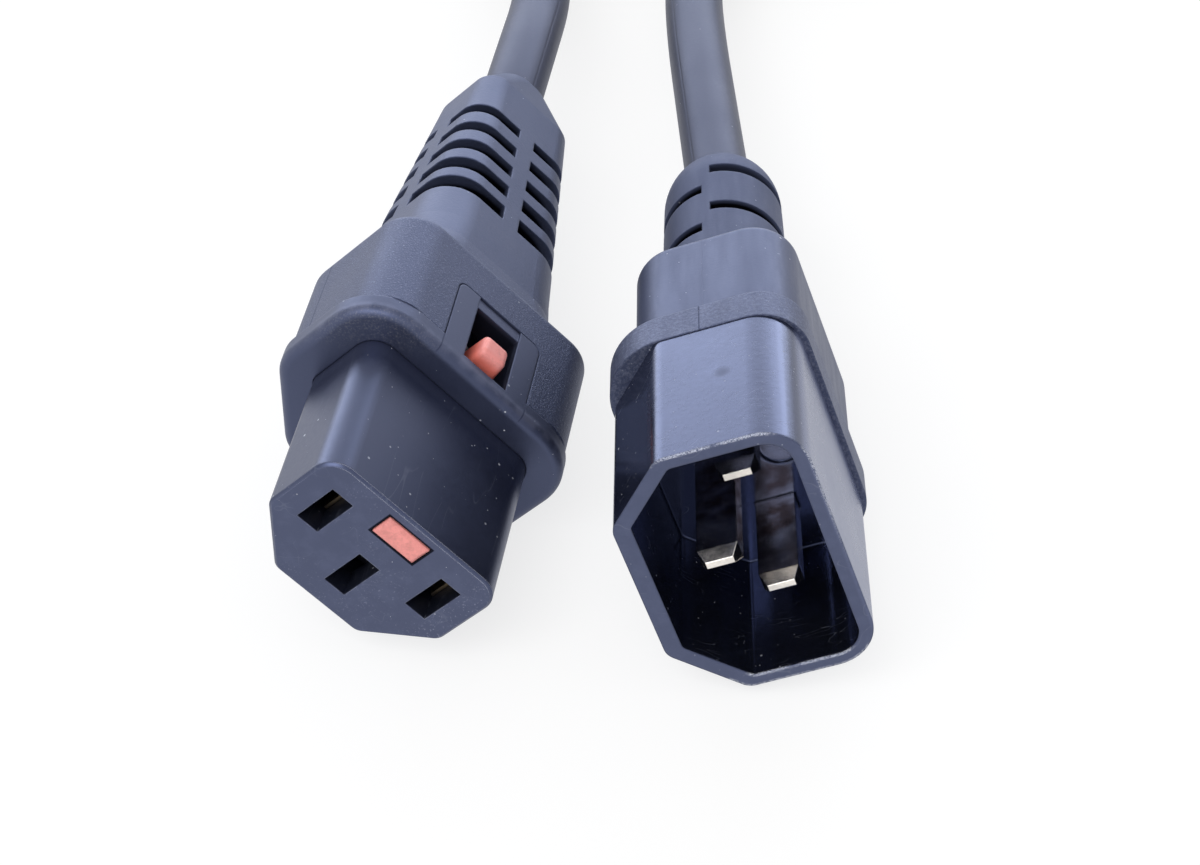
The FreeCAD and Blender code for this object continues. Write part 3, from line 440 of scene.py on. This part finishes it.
def make_spring():
    """Round wire in a screw line about the slider's axis, from the slider to the end of its channel."""
    share = np.linspace(0.0, 1.0, SPRING_STEPS_PER_TURN * SPRING_TURNS + 1)
    turn = share * SPRING_TURNS * 2 * math.pi
    y = SPRING_END - SPRING_LONG + SPRING_WIRE + (SPRING_LONG - 2 * SPRING_WIRE) * share
    own = np.stack((SPRING_RADIUS * np.cos(turn), y, SPRING_Z + SPRING_RADIUS * np.sin(turn)), axis=1)
    line = SOCKET["origin"] + own * MM @ SOCKET["axes"]
    wire = ring_round(line, SPRING_WIRE * MM, SPRING_WIRE_SIDES, (0.0, 1.0, 0.0))
    return grid_piece("spring_wire", wire, closed_v=True, caps=True)


spring = make_spring()
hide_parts("c13_return_spring")


# Finishes

# cool grey sheen that the charcoal plastics share
SHEEN = {"IOR": 2.1, "Specular_Tint": (0.48, 0.57, 1.0, 1.0)}
SOFT_SHEEN = {"IOR": 1.69, "Specular_Tint": (0.45, 0.53, 1.0, 1.0)}
CHARCOAL = (0.007, 0.008, 0.014)
SLATE = (0.045, 0.051, 0.080)
PALE = (0.30, 0.32, 0.40)
# pale of dust, flecks and worn edges, also laid on the cup's rim as painted glints
DUST_AND_GLINT = (0.74, 0.76, 0.82)
# black of painted shade in slots, gaps, creases and dents, and of dark parting lines
SHADE_AND_LINE_BLACK = (0.004, 0.004, 0.006)

# places on the connectors that the finishes follow, in millimetres of the connector's own frame
TAB_HALF_WIDE, TAB_HALF_HIGH = 2.7, 1.4
LIP_FRONT = 19.3
WINDOW_HALF_WIDE, WINDOW_FRONT, WINDOW_BACK = 3.1, 20.6, 29.1
PANEL_HALF_WIDE, PANEL_BACK, PANEL_GAP = 4.55, 29.3, (0.98, 1.14)
GRIP_PARTING_Z = -3.1
RELIEF_FRONT, RELIEF_LONG = 44.0, 32.0
RELIEF_SLOTS = (48.5, 71.0)
SHELL_RIGHT_Z = 7.3
SINK_Y, SINK_Z = 11.0, 1.0
FLANGE_BACK = 23.0
BOOT_PARTING_Z = -1.15
BOOT_SLOTS = (48.8, 62.3)
BOOT_TAPER = 0.016


def moulding(name, seat, tone, roughness, grain, depth, edge=0.25, **constants):
    """Moulded surface: cloudy tone and gloss, grain of so many lumps a millimetre, softly broken edges."""
    finish = Finish(name, **constants)
    broad = finish.noise(0.12, 3.0)
    fine = finish.noise(grain, 2.0, 0.6)
    darker = tuple(0.8 * t for t in tone)
    lighter = tuple(1.2 * t for t in tone)
    finish.base = finish.mix(finish.ramp(broad * 0.7 + fine * 0.3, 0.35, 0.65), darker, lighter)
    finish.rough = roughness + (broad - 0.5) * 0.14 + (fine - 0.5) * 0.12
    finish.height = fine * depth
    finish.edge = finish.rounded(edge)
    finish.seat = finish.local(seat)
    return finish


def tint(finish, amount, tone, rough=None):
    """Lays a colour over the finish by an amount, and a roughness with it where one is given."""
    finish.base = finish.mix(amount, finish.base, tone)
    if rough is not None:
        finish.rough = finish.rough + amount * (rough - finish.rough)


def close(finish):
    """Links the finish's colour, roughness and relief to its shader."""
    finish.feed("Base Color", finish.base)
    finish.feed("Roughness", finish.rough)
    finish.feed("Normal", finish.bump(finish.height, 1.0, finish.edge))
    return finish.material


def painted_shade_and_dark_lines(finish, amount):
    """Paints shade by an amount, as deep inside a slot, gap or window, and darkens parting lines: black
    metal mirrors almost nothing.
    """
    tint(finish, amount, SHADE_AND_LINE_BLACK, 0.8)
    finish.feed("Metallic", amount)


def dusted(finish, share):
    """Pale specks in two sizes over the surface, the larger in a share of the places."""
    tint(finish, finish.specks(0.8, 0.11, share), DUST_AND_GLINT, 0.8)
    tint(finish, finish.specks(2.1, 0.13, 0.6 * share), DUST_AND_GLINT, 0.8)


def parting_line(finish, height):
    """1 along the mould's parting line, a thin band at one height."""
    return finish.band(finish.seat[2], height - 0.05, height + 0.05, 0.06)


def nose_finish():
    """Satin insulator: scuffed face with a rubbed edge, dust on the sides, painted shade against the lip.
    """
    finish = moulding("nose_moulding", SOCKET, CHARCOAL, roughness=0.36, grain=2.2, depth=0.004, **SHEEN)
    x, y, z = finish.seat
    face = finish.ramp(y, 0.2, 0.05)
    scuff = finish.ramp(finish.noise(0.5, 5.0, 0.65), 0.42, 0.72)
    tint(finish, face * (scuff * 0.45 + 0.4), SLATE, 0.5)
    chafed = finish.ramp(finish.noise(0.18), 0.48, 0.62) * 0.6 + finish.ramp(x, 6.5, 9.5)
    tint(finish, face * chafed * finish.ramp(finish.noise(5.0, 2.0), 0.60, 0.76) * 0.5, PALE, 0.6)
    rim = finish.ramp(finish.edges(0.25), 0.05, 0.2) * finish.ramp(y, 0.8, 0.3)
    tint(finish, rim * finish.ramp(finish.noise(1.1), 0.3, 0.6) * 0.6, PALE)
    tint(finish, rim * finish.ramp(z, 4.6, 5.4), DUST_AND_GLINT)
    # painted shade in the crease where the nose meets the lip
    tint(finish, finish.band(y, LIP_FRONT - 1.9, LIP_FRONT - 0.1, 0.8) * 0.8, SHADE_AND_LINE_BLACK, 0.6)
    hair = finish.scratches(finish.vector(x * 0.35, y * 0.05, z * 0.35), 0.006)
    tint(finish, hair * 0.3, (0.12, 0.13, 0.16))
    dusted(finish, 0.2)
    # painted shade in the gap round the red tab
    from_tab = (abs(x) - TAB_HALF_WIDE).math("MAXIMUM", abs(z - SPRING_Z) - TAB_HALF_HIGH)
    painted_shade_and_dark_lines(finish, face * finish.ramp(from_tab, 0.24, 0.12) * 0.9)
    return close(finish)


def panel_gap_shade(finish):
    """1 along the gap round the panel, where painted shade goes: a rounded outline at a fixed distance from
    a smaller rectangle.
    """
    x, y, z = finish.seat
    aside = (abs(x) - PANEL_HALF_WIDE).math("MAXIMUM", 0.0)
    behind = (y - PANEL_BACK).math("MAXIMUM", 0.0)
    away = (aside ** 2.0 + behind ** 2.0) ** 0.5
    return finish.band(away, *PANEL_GAP, 0.05) * finish.ramp(z, 8.4, 8.9)


def lip_finish():
    """Smooth lip and panel, the lip's front rubbed pale and dusty toward its upper corner."""
    finish = moulding("lip_moulding", SOCKET, (0.016, 0.018, 0.028),
                      roughness=0.46, grain=3.0, depth=0.009, edge=0.2, **SHEEN)
    x, y, z = finish.seat
    front = finish.band(y, LIP_FRONT, LIP_FRONT + 1.1, 0.35)
    rubbed = front * finish.ramp(finish.noise(0.6, 4.0), 0.35, 0.65)
    tint(finish, rubbed * 0.6, (0.10, 0.107, 0.15), 0.5)
    corner = finish.ramp(z - x, 12.0, 18.0) * finish.ramp(y, LIP_FRONT + 0.9, LIP_FRONT + 0.2)
    settled = corner * finish.ramp(finish.noise(5.0, 5.0, 0.75), 0.48, 0.70)
    tint(finish, settled * 0.5, (0.20, 0.20, 0.21), 0.7)
    # painted shade in the gap round the panel
    tint(finish, panel_gap_shade(finish), SHADE_AND_LINE_BLACK, 0.7)
    dusted(finish, 0.25)
    # painted shade inside the window, below the panel's face
    window_shade = finish.ramp(abs(x), WINDOW_HALF_WIDE, WINDOW_HALF_WIDE - 0.15)
    window_shade = window_shade * finish.band(y, WINDOW_FRONT, WINDOW_BACK, 0.1)
    painted_shade_and_dark_lines(finish, window_shade * finish.ramp(z, 9.0, 8.4) * 0.8)
    return close(finish)


def relief_slots(finish):
    """1 deep in the relief's slots: well inside a rounded rectangle that narrows along the relief."""
    x, y, z = finish.seat
    share = (y - RELIEF_FRONT) / RELIEF_LONG
    half_wide = share * 0.55 + 2.65
    half_high = share * 0.3 + 1.8
    rounding = 6.8 - share * 3.4
    aside = (abs(x) - half_wide).math("MAXIMUM", 0.0)
    above = (abs(z - SOCKET_CABLE_Z) - half_high).math("MAXIMUM", 0.0)
    outside = (aside ** 2.0 + above ** 2.0) ** 0.5 - rounding
    return finish.ramp(outside, -0.2, -0.9) * finish.band(y, *RELIEF_SLOTS, 0.5)


def grip_finish():
    """Sandblasted overmould, painted shade in its slots, with the mould's parting line on its short side.
    """
    finish = moulding("sandblasted_grip", SOCKET, (0.014, 0.017, 0.030),
                      roughness=0.49, grain=3.2, depth=0.030, **SHEEN)
    x, y = finish.seat[:2]
    grit = finish.noise(6.5, 1.0)
    blasted = finish.ramp(y, RELIEF_FRONT, RELIEF_FRONT - 8.0)
    finish.height = finish.height + grit * blasted * 0.045
    tint(finish, finish.ramp(grit, 0.60, 0.72) * blasted * 0.35, PALE, 0.5)
    # painted shade in the gap round the panel
    tint(finish, panel_gap_shade(finish), SHADE_AND_LINE_BLACK, 0.7)
    dusted(finish, 0.12)
    short_side = finish.ramp(x, -12.5, -13.2) * finish.ramp(y, 36.5, 36.0)
    line = parting_line(finish, GRIP_PARTING_Z) * short_side
    # painted shade deep in the relief's slots, and the parting line darkened at half strength
    painted_shade_and_dark_lines(finish, line * 0.5 + relief_slots(finish))
    return close(finish)


def shell_finish():
    """Glossy cup: fine ripple, short scratches, painted sheen on its right side, worn rim with painted
    glints, sink mark painted as shade.
    """
    finish = moulding("glossy_shell", PLUG, (0.006, 0.007, 0.012),
                      roughness=0.25, grain=1.6, depth=0.006, edge=0.4, **SHEEN)
    x, y, z = finish.seat
    upper = finish.ramp(x, -13.5, -14.1)
    # sink mark painted as a soft dark spot of shade, with no dent in the surface
    sink = ((y - SINK_Y) ** 2.0 + (z - SINK_Z) ** 2.0) ** 0.5
    tint(finish, finish.ramp(sink, 1.1, 0.2) * upper * 0.8, SHADE_AND_LINE_BLACK, 0.5)
    inside = finish.ramp(abs(x), 13.4, 13.1) * finish.ramp(z, 6.7, 6.4) * finish.ramp(y, 0.2, 0.6)
    finish.rough = finish.rough - inside * 0.12
    # painted sheen: a pale blue reflection laid over the right wall
    painted_sheen = finish.ramp(z, SHELL_RIGHT_Z, SHELL_RIGHT_Z + 0.4)
    tint(finish, painted_sheen * 0.35, (0.30, 0.34, 0.55), 0.35)
    rim = finish.ramp(y, 0.15, 0.05)
    tint(finish, rim * (finish.ramp(finish.noise(0.6, 5.0, 0.7), 0.4, 0.7) * 0.4 + 0.6), SLATE, 0.5)
    # worn rim edges, partly real wear and partly painted glints in sparkling patches
    edge = finish.ramp(finish.edges(0.5), 0.01, 0.06) * finish.ramp(y, 0.7, 0.3)
    right = finish.ramp(z, SHELL_RIGHT_Z - 0.1, SHELL_RIGHT_Z + 0.3) * finish.ramp(x, 4.0, -10.0)
    outer = (upper + right).math("MINIMUM", 1.0)
    inner = finish.ramp(x, 12.4, 12.9)
    patches = finish.ramp(finish.noise(0.3, 2.0), 0.30, 0.42)
    painted_glint = finish.ramp(finish.noise(6.5, 3.0, 0.7), 0.43, 0.54) * patches
    tint(finish, edge * painted_glint * (outer + inner).math("MINIMUM", 1.0), DUST_AND_GLINT, 0.35)
    nicks = finish.scratches(finish.vector(x * 0.25, y * 0.9, z * 0.25), 0.006)
    tint(finish, nicks * 0.4, (0.14, 0.15, 0.18), 0.5)
    dusted(finish, 0.2)
    return close(finish)


def boot_finish():
    """Satin overmould, painted shade in its slots: grainy flange, and a flecked parting line on its upper
    side.
    """
    finish = moulding("satin_boot", PLUG, (0.010, 0.012, 0.022),
                      roughness=0.46, grain=3.0, depth=0.009, **SHEEN)
    x, y, z = finish.seat
    drag = finish.noise(1.0, 3.0, 0.6, at=finish.vector(x * 0.9, y * 0.12, z * 0.9))
    finish.rough = finish.rough + (drag - 0.5) * 0.2
    flange = finish.ramp(y, FLANGE_BACK + 0.2, FLANGE_BACK - 0.2)
    grit = finish.noise(3.0, 3.0, 0.7)
    finish.height = finish.height + flange * grit * 0.045
    finish.rough = finish.rough + flange * (grit * 0.1) + finish.ramp(y, 37.0, 40.0) * 0.16
    tint(finish, flange * finish.ramp(grit, 0.4, 0.7) * 0.25, PALE)
    upper = finish.ramp(x, -11.0, -12.0)
    line = parting_line(finish, BOOT_PARTING_Z) * upper
    finish.height = finish.height + line * 0.02
    near_line = finish.band(z, BOOT_PARTING_Z - 0.35, BOOT_PARTING_Z + 0.35, 0.3)
    tint(finish, near_line * upper * finish.specks(2.2, 0.2, 0.4), DUST_AND_GLINT, 0.8)
    front = finish.ramp(y, 19.3, 19.1) * finish.specks(2.4, 0.2, 0.15)
    tint(finish, front, DUST_AND_GLINT, 0.8)
    dusted(finish, 0.1)
    # painted shade deep in the slots, and the parting line darkened on the flange
    from_axis = (x ** 2.0 + (z - PLUG_CABLE_Z) ** 2.0) ** 0.5 + y * BOOT_TAPER
    slots = finish.ramp(from_axis, 7.35, 6.9) * finish.band(y, *BOOT_SLOTS, 0.15)
    painted_shade_and_dark_lines(finish, slots + line * flange * 0.5)
    return close(finish)


def red_finish():
    """Coral moulding, with painted highlights along its rounded edges and painted shade down the button's
    sides.
    """
    finish = moulding("coral_red", SOCKET, (0.92, 0.33, 0.30),
                      roughness=0.38, grain=2.5, depth=0.004, edge=0.35)
    y, z = finish.seat[1:]
    # painted shade: deeper red down the button's sides, below its lit top
    button_side_shade = finish.ramp(z, 10.2, 9.0) * finish.ramp(y, 12.0, 16.0)
    tint(finish, button_side_shade * 0.8, (0.80, 0.15, 0.10))
    # painted highlights: paler red along the rounded edges
    tint(finish, finish.ramp(finish.edges(0.3), 0.03, 0.2) * 0.4, (0.90, 0.44, 0.40))
    return close(finish)


def metal_finish(name, tone, roughness, seat, tarnish_and_shade, cover=0.6, clean=-1.0):
    """Metal with fine lengthwise drawing marks, and clouds of tarnish behind the part rubbed clean, which
    on the contacts also stand for painted shade.
    """
    finish = moulding(name, seat, tone, roughness, grain=1.2, depth=0.001, edge=0.15, Metallic=1.0)
    x, y, z = finish.seat
    drawn = finish.noise(1.0, 3.0, 0.6, at=finish.vector(x * 6.0, y * 0.4, z * 6.0))
    finish.rough = finish.rough + (drawn - 0.5) * 0.14
    finish.height = finish.height + drawn * 0.002
    cloud = finish.ramp(finish.noise(0.35, 4.0), 0.3, 0.65) * finish.ramp(y, clean, clean + 2.5)
    tint(finish, cloud * cover, tarnish_and_shade)
    return close(finish)


def cable_finish():
    """Satin sheath with a faint groove along it, darkened by painted shade, and dust."""
    finish = moulding("sheath_satin", SOCKET, (0.012, 0.014, 0.024),
                      roughness=0.46, grain=2.5, depth=0.004, **SOFT_SHEEN)
    round_cable = finish.node("ShaderNodeAttribute", {"attribute_name": "round_cable"}, out="Fac")
    # faint groove along the sheath, with painted shade darkening it
    line = finish.band(round_cable, 0.108, 0.114, 0.008)
    finish.height = finish.height - line * 0.03
    tint(finish, line * 0.7, SHADE_AND_LINE_BLACK)
    dusted(finish, 0.06)
    return close(finish)


def strap_finish():
    """Plain weave: a sine along times a sine across, so that threads cross over and under in turn."""
    finish = moulding("strap_weave", SOCKET, (0.020, 0.020, 0.024), roughness=0.85, grain=4.0, depth=0.01)
    along = finish.node("ShaderNodeAttribute", {"attribute_name": "thread_along"}, out="Fac")
    across = finish.node("ShaderNodeAttribute", {"attribute_name": "thread_across"}, out="Fac")
    turns = 2 * math.pi / (2 * THREAD_PITCH)
    weave = (along * turns).math("SINE") * (across * turns).math("SINE")
    finish.height = finish.height + weave * 0.06
    tint(finish, finish.ramp(weave, -0.2, 0.9) * 0.6, (0.050, 0.050, 0.058))
    return close(finish)


def core_finish(name, tone, stripe=None):
    """Insulation in one colour, with lengthwise stripes where a second is given."""
    finish = moulding(name, SOCKET, tone, roughness=0.35, grain=2.0, depth=0.003)
    if stripe:
        x, y, z = finish.seat
        lengthwise = finish.noise(0.6, 0.0, at=finish.vector(x * 1.2, y * 0.03, z * 1.2))
        tint(finish, finish.ramp(lengthwise, 0.49, 0.52), stripe)
    return close(finish)


FINISHES = {
    "nose_plastic": nose_finish(),
    "lip_plastic": lip_finish(),
    "grip_plastic": grip_finish(),
    "red_plastic": red_finish(),
    "spring_steel": metal_finish("spring_wire", (0.60, 0.60, 0.62), 0.30, SOCKET, tarnish_and_shade=(0.45, 0.44, 0.43)),
    "plate_steel": metal_finish("stamped_plate", (0.60, 0.60, 0.61), 0.32, SOCKET, tarnish_and_shade=(0.45, 0.44, 0.42)),
    # the contacts' darker brass tone and heavy tarnish also paint the shade deep in the nose's slots
    "contact_brass": metal_finish("formed_brass", (0.30, 0.23, 0.13), 0.42, SOCKET,
                                  tarnish_and_shade=(0.07, 0.055, 0.04), cover=0.9),
    "pin_plating": metal_finish("nickel_plating", (0.80, 0.76, 0.71), 0.20, PLUG,
                                tarnish_and_shade=(0.20, 0.14, 0.11), cover=1.0, clean=5.2),
    "shell_plastic": shell_finish(),
    "boot_plastic": boot_finish(),
    "cable_sheath": cable_finish(),
    "brown_core": core_finish("brown_insulation", (0.14, 0.05, 0.02)),
    "blue_core": core_finish("blue_insulation", (0.03, 0.10, 0.40)),
    "green_core": core_finish("green_insulation", (0.06, 0.24, 0.04), (0.55, 0.45, 0.03)),
    "strap_cloth": strap_finish(),
}
for row in frame["record"]["subparts"]:
    node = frame["nodes"][row["node"]]
    node.data.materials.clear()
    node.data.materials.append(FINISHES[row["material_slot"]])
NEW_PIECES = {
    cable: "cable_sheath",
    strap: "strap_cloth",
    strap_tail: "strap_cloth",
    spring: "spring_steel",
}
for piece, slot in NEW_PIECES.items():
    piece.data.materials.append(FINISHES[slot])
    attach(piece, "cord")
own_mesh(spring)


# Table, light and camera

SHEET_HALF = 1.5
SHEET_TONE = 0.80
SHEET_SHADE = 0.28
SHEET_GLOW = 0.77
WORLD_LIGHT = 0.5
CAMERA_PLACE = (0.032729, -0.233338, 0.1905)
CAMERA_DOWN = 39.238
CAMERA_TURN = 8.298


def grey(level):
    """Colour with the same level in red, green and blue."""
    return level, level, level, 1.0


def backdrop_rays(tree):
    """1 for rays that look at the background: from the camera, by a reflection or through glass."""
    path = tree.nodes.new("ShaderNodeLightPath")
    seen = path.outputs["Is Camera Ray"]
    for ray in ("Is Glossy Ray", "Is Transmission Ray"):
        either = tree.nodes.new("ShaderNodeMath")
        either.operation = "MAXIMUM"
        tree.links.new(seen, either.inputs[0])
        tree.links.new(path.outputs[ray], either.inputs[1])
        seen = either.outputs[0]
    return seen


def make_table():
    """White sheet, flat at z = 0: it glows toward the camera, so that only shadows show on it."""
    side = np.linspace(-SHEET_HALF, SHEET_HALF, 3)
    x, y = np.meshgrid(side, side, indexing="ij")
    table = grid_piece("table", np.stack((x, y, np.zeros_like(x)), axis=2))
    finish = Finish("white_sheet", Roughness=0.8, Specular_IOR_Level=0.0)
    finish.shader.inputs["Base Color"].default_value = grey(SHEET_TONE)
    tree = finish.tree
    shade = tree.nodes.new("ShaderNodeBsdfDiffuse")
    shade.inputs["Color"].default_value = grey(SHEET_SHADE)
    glow = tree.nodes.new("ShaderNodeEmission")
    glow.inputs["Strength"].default_value = SHEET_GLOW
    lit = tree.nodes.new("ShaderNodeAddShader")
    tree.links.new(shade.outputs[0], lit.inputs[0])
    tree.links.new(glow.outputs[0], lit.inputs[1])
    chosen = tree.nodes.new("ShaderNodeMixShader")
    tree.links.new(backdrop_rays(tree), chosen.inputs[0])
    tree.links.new(finish.shader.outputs[0], chosen.inputs[1])
    tree.links.new(lit.outputs[0], chosen.inputs[2])
    surface = next(n for n in tree.nodes if n.type == "OUTPUT_MATERIAL")
    tree.links.new(chosen.outputs[0], surface.inputs["Surface"])
    table.data.materials.append(finish.material)


def add_light(name, place, aim, size, power, tone):
    """Rectangular lamp turned from its place toward its aim, in metres and watts."""
    lamp = bpy.data.lights.new(name, "AREA")
    lamp.shape = "RECTANGLE"
    lamp.size, lamp.size_y = size
    lamp.energy = power
    lamp.color = tone
    holder = bpy.data.objects.new(name, lamp)
    holder.location = place
    direction = np.array(aim) - np.array(place)
    level = math.hypot(direction[0], direction[1])
    holder.rotation_euler = (math.atan2(level, -direction[2]), 0.0, math.atan2(-direction[0], direction[1]))
    bpy.context.scene.collection.objects.link(holder)


def make_studio():
    """White all round: full white where it is seen or mirrored, dimmer as a light source."""
    world = bpy.data.worlds.new("studio")
    bpy.context.scene.world = world
    world.use_nodes = True
    sky = world.node_tree
    backdrop = sky.nodes["Background"]
    backdrop.inputs["Color"].default_value = grey(1.0)
    level = sky.nodes.new("ShaderNodeMapRange")
    level.inputs["To Min"].default_value = WORLD_LIGHT
    level.inputs["To Max"].default_value = 1.0
    sky.links.new(backdrop_rays(sky), level.inputs["Value"])
    sky.links.new(level.outputs[0], backdrop.inputs["Strength"])


make_table()
make_studio()
add_light("softbox", place=(-0.23, 0.75, 0.28), aim=(-0.23, 0.0, 0.28), size=(1.26, 0.44), power=5.2,
          tone=(0.82, 0.89, 1.0))
add_light("fill", place=(-0.25, -0.70, 0.85), aim=(0.0, 0.0, 0.0), size=(0.9, 0.6), power=6.0,
          tone=(1.0, 1.0, 1.0))

lens = bpy.data.cameras.new("photo_camera")
lens.sensor_width = 36.0
lens.lens = 84.0
camera = bpy.data.objects.new("photo_camera", lens)
camera.location = CAMERA_PLACE
camera.rotation_euler = (math.radians(90 - CAMERA_DOWN), 0.0, math.radians(CAMERA_TURN))
bpy.context.scene.collection.objects.link(camera)
bpy.context.scene.camera = camera
bpy.context.scene.view_settings.view_transform = "Standard"
